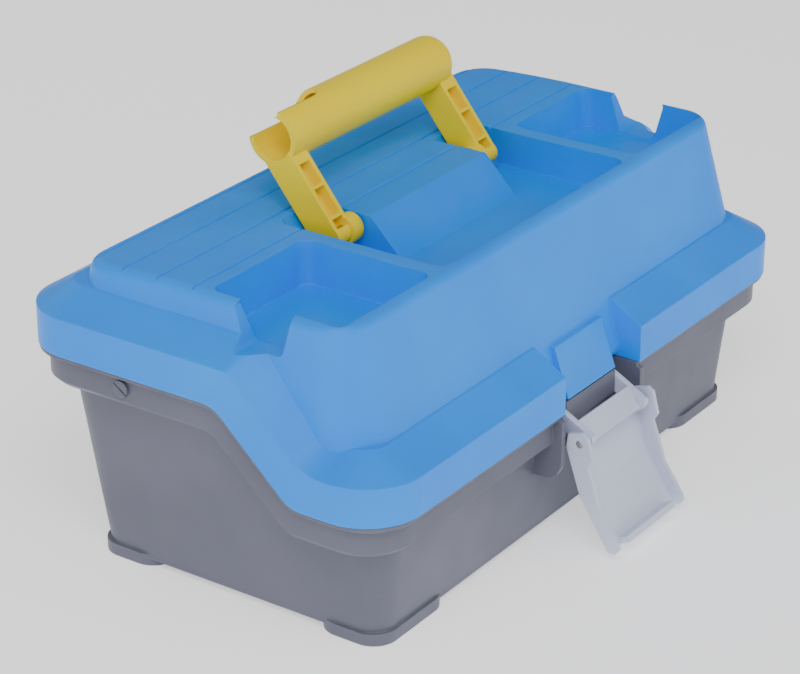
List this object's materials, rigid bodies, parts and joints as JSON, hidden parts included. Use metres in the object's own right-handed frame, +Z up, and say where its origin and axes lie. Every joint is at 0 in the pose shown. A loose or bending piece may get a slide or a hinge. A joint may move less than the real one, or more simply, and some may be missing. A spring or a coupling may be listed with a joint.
{
  "type": "toolbox with tray",
  "caption": "Plastic toolbox with a stepped lid, recessed folding carry handle, over-centre front latch and a cantilever tray inside that lifts with the lid.",
  "frame": {"origin": "centre of the footprint of the whole box, on the plane the feet stand on", "axes": "+X along the front of the box, +Y from the latch towards the hinge, +Z up"},
  "size_m": [0.3, 0.2052, 0.1671],
  "materials": {
    "lid_plastic": "fine satin texture, sky blue",
    "base_plastic": "fine satin texture, mid grey",
    "handle_plastic": "satin, bright yellow",
    "latch_plastic": "satin, light grey",
    "tray_plastic": "satin, mid grey",
    "divider_plastic": "satin, light grey",
    "arm_plastic": "satin, light grey",
    "rivet_plastic": "satin, mid grey",
    "steel_pin": "drawn steel wire"
  },
  "bodies": {
    "base": {"base_tub": "base_plastic", "hinge_pin_left": "steel_pin", "hinge_pin_right": "steel_pin", "bail_pin": "steel_pin", "side_rivet_left": "rivet_plastic", "side_rivet_right": "rivet_plastic"},
    "lid": {"lid": "lid_plastic", "handle_pin_left": "steel_pin", "handle_pin_right": "steel_pin", "lid_tray_pin_left": "steel_pin", "lid_tray_pin_right": "steel_pin"},
    "handle": {"handle": "handle_plastic"},
    "bail": {"latch_bail": "latch_plastic", "lever_pins": "steel_pin"},
    "lever": {"latch_lever": "latch_plastic"},
    "arm_left": {"arm_left": "arm_plastic"},
    "arm_right": {"arm_right": "arm_plastic"},
    "tray": {"tray": "tray_plastic", "tray_divider_1": "divider_plastic", "tray_divider_2": "divider_plastic", "tray_divider_3": "divider_plastic", "arm_tray_pin_left": "steel_pin", "arm_tray_pin_right": "steel_pin"}
  },
  "joints": [
    {"name": "lid_hinge", "type": "hinge", "parent": "base", "child": "lid", "pos_m": [0, 0.09864, 0.0917], "axis": [-1, 0, 0], "range_deg": [0, 100]},
    {"name": "handle_hinge", "type": "hinge", "parent": "lid", "child": "handle", "pos_m": [0, 0.01324, 0.1212], "axis": [1, 0, 0], "range_deg": [0, 125]},
    {"name": "lever_hinge", "type": "hinge", "parent": "bail", "child": "lever", "pos_m": [0, -0.08296, 0.04727], "axis": [-1, 0, 0], "range_deg": [0, 225]},
    {"name": "bail_hinge", "type": "hinge", "parent": "base", "child": "bail", "pos_m": [0, -0.06966, 0.0542], "axis": [1, 0, 0], "range_deg": [0, 66.5]},
    {"name": "arm_left_hinge", "type": "hinge", "parent": "base", "child": "arm_left", "pos_m": [-0.1308, 0.04354, 0.0847], "axis": [-1, 0, 0], "range_deg": [0, 100]},
    {"name": "arm_right_hinge", "type": "hinge", "parent": "base", "child": "arm_right", "pos_m": [0.1308, 0.04354, 0.0847], "axis": [-1, 0, 0], "range_deg": [0, 100]},
    {"name": "tray_pivot", "type": "hinge", "parent": "arm_left", "child": "tray", "pos_m": [-0.1308, 0.00154, 0.0887], "axis": [-1, 0, 0], "range_deg": [-100, 0]}
  ],
  "couplings": [
    {"joint": "bail_hinge", "follows": "lever_hinge", "ratio": 0.2955},
    {"joint": "arm_left_hinge", "follows": "lid_hinge", "ratio": 1},
    {"joint": "arm_right_hinge", "follows": "lid_hinge", "ratio": 1},
    {"joint": "tray_pivot", "follows": "lid_hinge", "ratio": -1}
  ]
}
